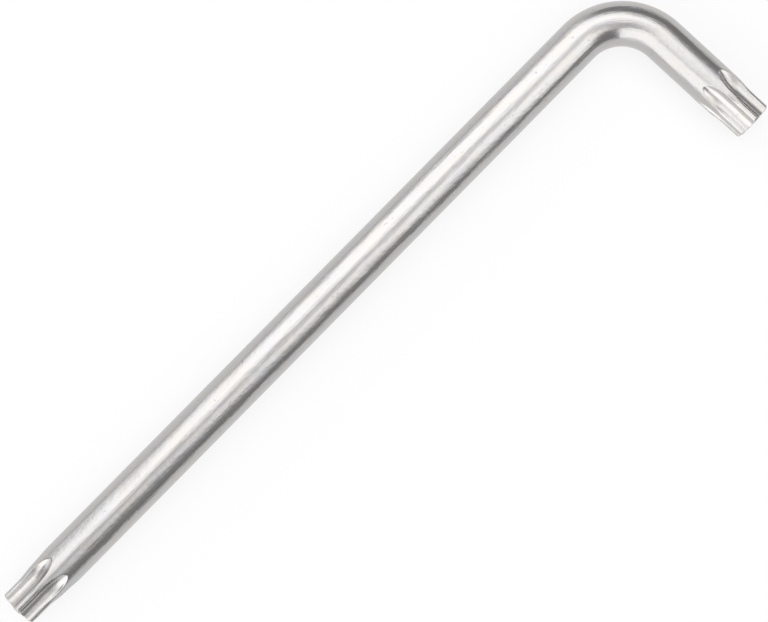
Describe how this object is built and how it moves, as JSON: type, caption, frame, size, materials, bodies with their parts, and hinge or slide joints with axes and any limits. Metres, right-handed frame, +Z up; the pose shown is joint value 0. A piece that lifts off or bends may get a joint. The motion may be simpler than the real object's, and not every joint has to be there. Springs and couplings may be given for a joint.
{
  "type": "star-drive key",
  "caption": "L-shaped steel key for star-drive screws: a round rod bent near one end, with a fluted star tip on each arm.",
  "frame": {"origin": "on the surface that the key lies on, under the middle of its overall length and width", "axes": "+Z up; +X along the long arm, from its tip towards the bend; the short arm turns off towards -Y"},
  "size_m": [0.1356, 0.0316, 0.007],
  "materials": {
    "plated_steel": "satin chrome plating on hardened steel"
  },
  "bodies": {
    "root": {"star_key": "plated_steel"}
  },
  "joints": []
}
